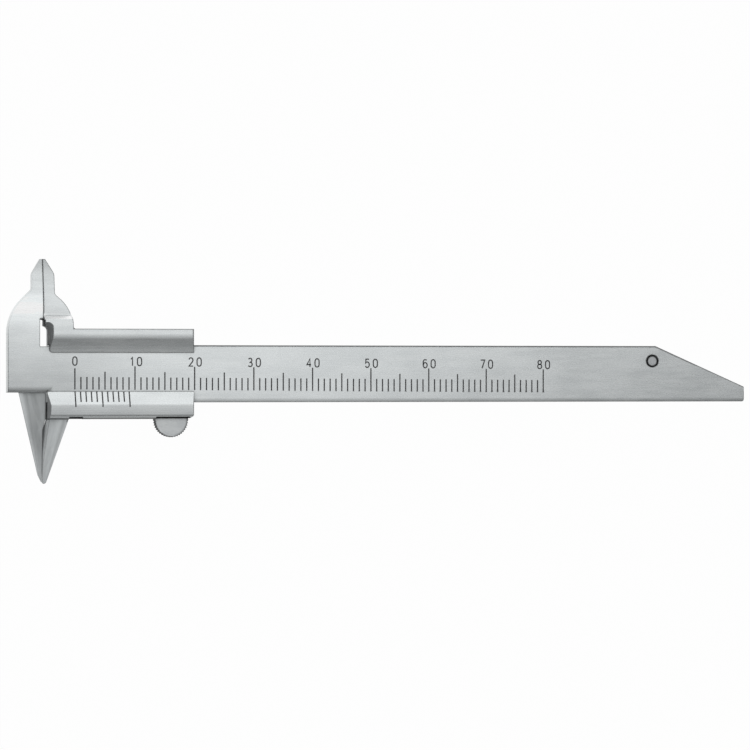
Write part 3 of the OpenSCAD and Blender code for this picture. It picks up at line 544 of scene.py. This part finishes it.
def fill_vernier(mat):
    """Lines up the lower lip's slope; each fifth one goes on over the lip's face."""
    rise = LIP_TOP - LIP_FOOT
    uphill = Vector((0, -BEVEL_W, rise)).normalized()
    out = Vector((0, rise, BEVEL_W)).normalized()
    edge = Vector((0, LOW_LIP_Y, LIP_FOOT))
    slope_len = math.hypot(BEVEL_W, rise)
    half = TICK_W / 2 - INK_SIDE
    verts, faces = [], []
    for i in range(VERNIER_LINES):
        x = i * VERNIER_PITCH
        near = edge + uphill * VERNIER_START
        far = edge + uphill * (slope_len * (1.0 if i % 5 == 0 else VERNIER_SHORT) - INK_SIDE)
        corners = []
        for depth in (GROOVE_D - INK_BACK, INK_SINK):
            a, b = near - out * depth, far - out * depth
            corners += [(x - half, *b.yz), (x + half, *b.yz), (x + half, *a.yz), (x - half, *a.yz)]
        block(verts, faces, corners)
        if i % 5 == 0:
            flat_block(verts, faces, x - half, x + half,
                       LOW_LIP_Y - VERNIER_REACH + INK_SIDE, LOW_LIP_Y - BEVEL_W - LIP_STEP,
                       LIP_TOP - GROOVE_D + INK_BACK, LIP_TOP - INK_SINK)
    add_piece("vernier_filling", verts, faces, mat, "slider")


def make_floor():
    """A round floor that the camera and reflections see as white and that takes the part's shadow."""
    mesh = bpy.data.meshes.new("floor")
    ring = [(math.cos(math.radians(a)) * FLOOR_R, math.sin(math.radians(a)) * FLOOR_R, FLOOR_Z)
            for a in range(0, 360, 6)]
    mesh.from_pydata(ring, [], [tuple(range(len(ring)))])
    obj = bpy.data.objects.new("floor", mesh)
    bpy.context.scene.collection.objects.link(obj)
    mat, tree, shader = new_material("floor")
    soft = noise(tree, (3, 3, 3), 2.0)
    grey = ramp(tree, soft, [(0.3, (0.84, 0.84, 0.84)), (0.7, (0.86, 0.86, 0.86))])
    tree.links.new(grey, shader.inputs["Base Color"])
    shader.inputs["Roughness"].default_value = 0.9
    white = tree.nodes.new("ShaderNodeEmission")
    white.inputs["Color"].default_value = WHITE + (1,)
    white.inputs["Strength"].default_value = 1.0
    path = tree.nodes.new("ShaderNodeLightPath")
    seen = math_node(tree, "MAXIMUM", path.outputs["Is Camera Ray"],
                     math_node(tree, "MAXIMUM", path.outputs["Is Glossy Ray"], path.outputs["Is Transmission Ray"]))
    mix = tree.nodes.new("ShaderNodeMixShader")
    tree.links.new(math_node(tree, "MULTIPLY", seen, 0.98), mix.inputs[0])
    tree.links.new(shader.outputs[0], mix.inputs[1])
    tree.links.new(white.outputs[0], mix.inputs[2])
    tree.links.new(mix.outputs[0], tree.nodes["Material Output"].inputs[0])
    mesh.materials.append(mat)


def make_world():
    """Surroundings in bands of grey, sideways along X and upwards along Y, from -1 at stop 0 to 1 at stop 1."""
    world = bpy.data.worlds.new("studio")
    bpy.context.scene.world = world
    world.use_nodes = True
    tree = world.node_tree
    tree.nodes.clear()
    out = tree.nodes.new("ShaderNodeOutputWorld")
    back = tree.nodes.new("ShaderNodeBackground")
    x, y, _ = axes_of(tree, tree.nodes.new("ShaderNodeTexCoord").outputs["Generated"])
    sideways = ramp(tree, math_node(tree, "MULTIPLY_ADD", x, 0.5, 0.5),
                    [(0.0, 0.6), (0.2, 0.48), (0.3, 0.42), (0.4, 0.52), (0.5, 0.72), (0.54, 0.84), (0.57, 1.0),
                     (0.59, 1.2), (0.61, 1.14), (0.63, 0.66), (0.64, 0.6), (0.65, 0.38), (0.665, 0.2),
                     (0.68, 0.38), (0.71, 0.55), (0.75, 0.68), (1.0, 0.75)])
    upwards = ramp(tree, math_node(tree, "MULTIPLY_ADD", y, 0.5, 0.5),
                   [(0.0, 0.7), (0.04, 0.5), (0.09, 0.16), (0.15, 0.24), (0.2, 0.4), (0.25, 0.52), (0.31, 0.58),
                    (0.36, 0.64), (0.42, 0.78), (0.5, 1.0), (0.62, 0.95), (0.74, 0.85), (0.84, 0.64), (0.93, 0.64),
                    (1.0, 0.42)])
    tree.links.new(mix_colour(tree, 1.0, sideways, upwards, "MULTIPLY"), back.inputs["Color"])
    back.inputs["Strength"].default_value = 1.05
    tree.links.new(back.outputs[0], out.inputs[0])


def make_lamp(name, spot, target, size, watts):
    data = bpy.data.lights.new(name, "AREA")
    data.shape = "RECTANGLE"
    data.size, data.size_y = size
    data.energy = watts
    obj = bpy.data.objects.new(name, data)
    obj.location = spot
    obj.rotation_euler = (Vector(target) - Vector(spot)).to_track_quat("-Z", "Y").to_euler()
    bpy.context.scene.collection.objects.link(obj)


def make_camera():
    """The photo's camera: beyond the jaw end and turned towards the tail."""
    data = bpy.data.cameras.new("camera")
    data.sensor_width = SENSOR_W
    data.lens = SENSOR_W * FOCAL_PX / PHOTO_PX
    data.clip_start = 0.01
    data.clip_end = 20.0
    obj = bpy.data.objects.new("camera", data)
    obj.location = (-0.07305, -0.000205, 0.56227)
    obj.rotation_euler = (0.0, math.radians(-12.5), 0.0)
    bpy.context.scene.collection.objects.link(obj)
    bpy.context.scene.camera = obj


dress_cad()
scale_ink = ink("scale_ink", (0.115, 0.115, 0.118), (0.05, 0.05, 0.052))
vernier_ink = ink("vernier_ink", (0.11, 0.11, 0.113), (0.06, 0.06, 0.062))
fill_main_scale(scale_ink)
number_main_scale(scale_ink)
fill_vernier(vernier_ink)
make_floor()
make_world()
make_lamp("softbox", (-0.05, 0.55, 0.45), (0.03, 0.0, 0.0), (0.5, 0.25), 0.24)
make_camera()
bpy.context.scene.view_settings.view_transform = "Standard"
